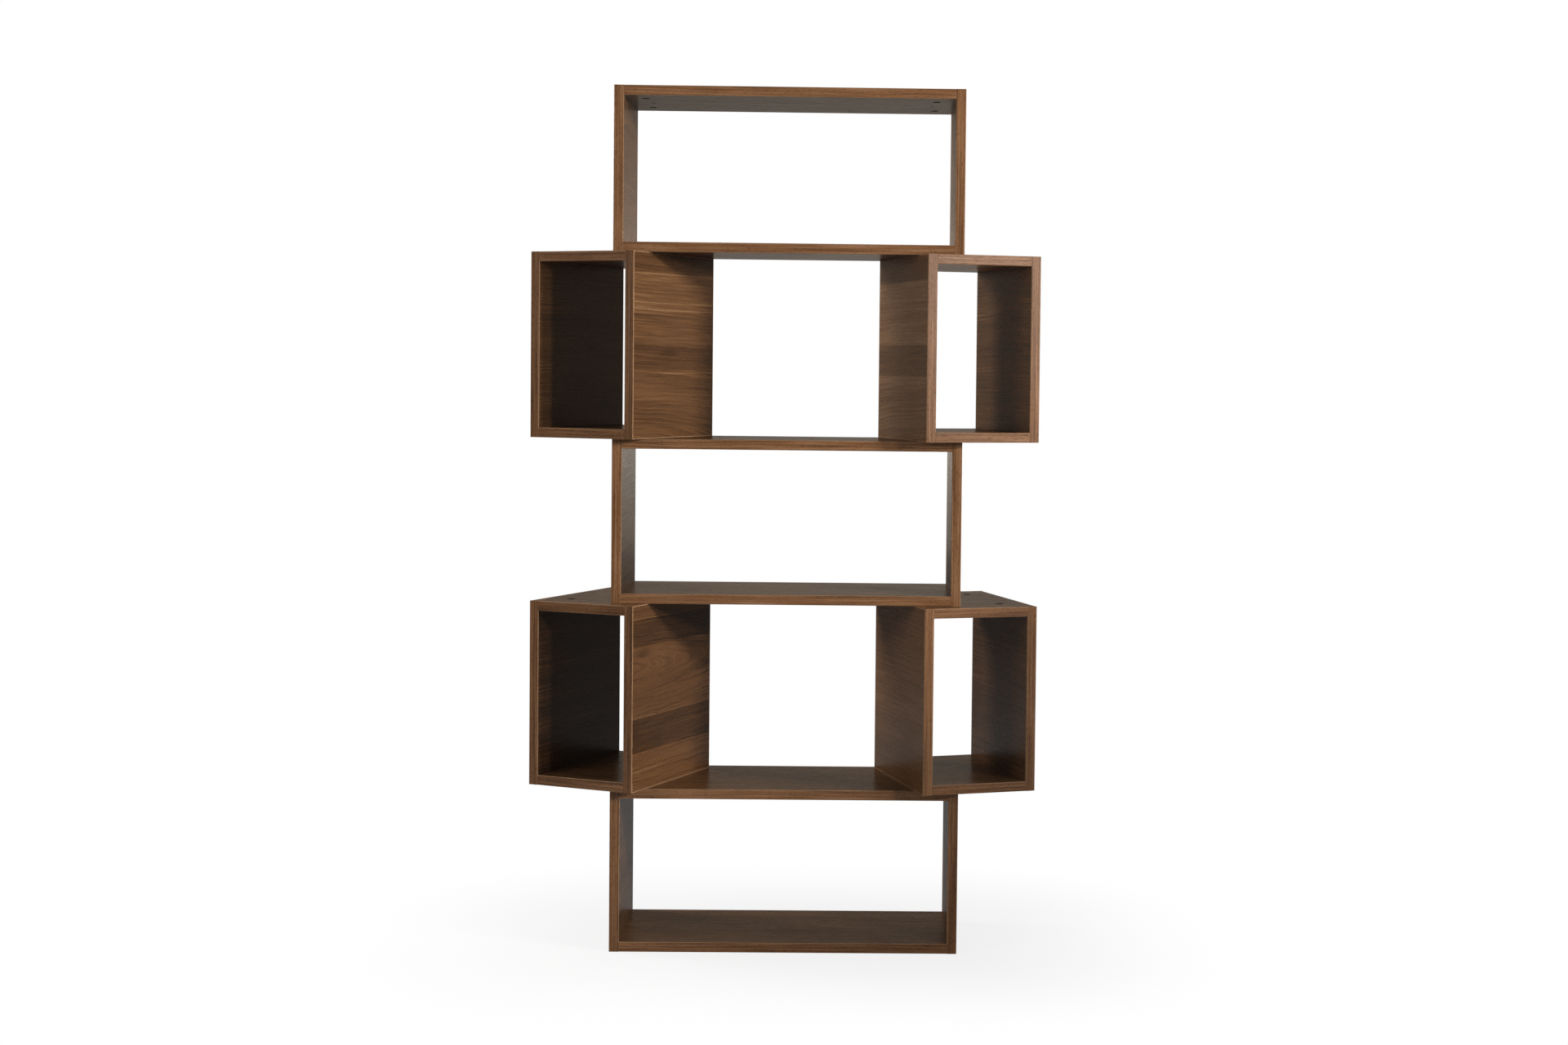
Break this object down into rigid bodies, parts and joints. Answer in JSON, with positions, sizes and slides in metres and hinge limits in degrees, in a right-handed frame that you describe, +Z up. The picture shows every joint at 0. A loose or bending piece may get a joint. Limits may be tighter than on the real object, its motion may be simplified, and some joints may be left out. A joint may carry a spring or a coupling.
{
  "type": "zigzag bookshelf",
  "caption": "Open bookshelf of wide boxes with turned upright boxes stacked between them, each upright box swivelling on vertical pivot bolts.",
  "frame": {"origin": "on the floor under the middle of the wide boxes", "axes": "+Z up; +X to the right seen from the front; the front faces -Y"},
  "size_m": [0.9302, 0.3626, 1.578],
  "materials": {
    "walnut_board": "dark walnut woodgrain, satin",
    "edge_band": "dark walnut edge band, satin",
    "cam_zinc": "die-cast zinc, dull",
    "bolt_steel": "zinc-plated steel",
    "dowel_beech": "plain beech",
    "pivot_steel": "dark plated steel",
    "insert_brass": "plain brass"
  },
  "bodies": {
    "wide_boxes": {"lower_wide_bottom": "walnut_board", "lower_wide_left_side": "walnut_board", "lower_wide_right_side": "walnut_board", "lower_wide_top": "walnut_board", "middle_wide_bottom": "walnut_board", "middle_wide_left_side": "walnut_board", "middle_wide_right_side": "walnut_board", "middle_wide_top": "walnut_board", "upper_wide_bottom": "walnut_board", "upper_wide_left_side": "walnut_board", "upper_wide_right_side": "walnut_board", "upper_wide_top": "walnut_board", "wide_cam_bolts": "bolt_steel", "wide_cam_locks": "cam_zinc", "wide_dowels": "dowel_beech", "wide_edge_bands": "edge_band", "wide_pivot_bolts": "pivot_steel", "wide_pivot_inserts": "insert_brass"},
    "lower_left_tall_box": {"lower_left_tall_bottom": "walnut_board", "lower_left_tall_cam_bolts": "bolt_steel", "lower_left_tall_cam_locks": "cam_zinc", "lower_left_tall_dowels": "dowel_beech", "lower_left_tall_edge_bands": "edge_band", "lower_left_tall_left_side": "walnut_board", "lower_left_tall_pivot_bolts": "pivot_steel", "lower_left_tall_pivot_inserts": "insert_brass", "lower_left_tall_right_side": "walnut_board", "lower_left_tall_top": "walnut_board"},
    "lower_right_tall_box": {"lower_right_tall_bottom": "walnut_board", "lower_right_tall_cam_bolts": "bolt_steel", "lower_right_tall_cam_locks": "cam_zinc", "lower_right_tall_dowels": "dowel_beech", "lower_right_tall_edge_bands": "edge_band", "lower_right_tall_left_side": "walnut_board", "lower_right_tall_pivot_bolts": "pivot_steel", "lower_right_tall_pivot_inserts": "insert_brass", "lower_right_tall_right_side": "walnut_board", "lower_right_tall_top": "walnut_board"},
    "upper_left_tall_box": {"upper_left_tall_bottom": "walnut_board", "upper_left_tall_cam_bolts": "bolt_steel", "upper_left_tall_cam_locks": "cam_zinc", "upper_left_tall_dowels": "dowel_beech", "upper_left_tall_edge_bands": "edge_band", "upper_left_tall_left_side": "walnut_board", "upper_left_tall_pivot_bolts": "pivot_steel", "upper_left_tall_pivot_inserts": "insert_brass", "upper_left_tall_right_side": "walnut_board", "upper_left_tall_top": "walnut_board"},
    "upper_right_tall_box": {"upper_right_tall_bottom": "walnut_board", "upper_right_tall_cam_bolts": "bolt_steel", "upper_right_tall_cam_locks": "cam_zinc", "upper_right_tall_dowels": "dowel_beech", "upper_right_tall_edge_bands": "edge_band", "upper_right_tall_left_side": "walnut_board", "upper_right_tall_pivot_bolts": "pivot_steel", "upper_right_tall_pivot_inserts": "insert_brass", "upper_right_tall_right_side": "walnut_board", "upper_right_tall_top": "walnut_board"}
  },
  "joints": [
    {"name": "lower_left_tall_box_turn", "type": "hinge", "parent": "wide_boxes", "child": "lower_left_tall_box", "pos_m": [-0.258, 0, 0.3], "axis": [0, 0, 1], "continuous": true},
    {"name": "lower_right_tall_box_turn", "type": "hinge", "parent": "wide_boxes", "child": "lower_right_tall_box", "pos_m": [0.258, 0, 0.3], "axis": [0, 0, 1], "continuous": true},
    {"name": "upper_left_tall_box_turn", "type": "hinge", "parent": "wide_boxes", "child": "upper_left_tall_box", "pos_m": [-0.258, 0, 0.939], "axis": [0, 0, 1], "continuous": true},
    {"name": "upper_right_tall_box_turn", "type": "hinge", "parent": "wide_boxes", "child": "upper_right_tall_box", "pos_m": [0.258, 0, 0.939], "axis": [0, 0, 1], "continuous": true}
  ]
}
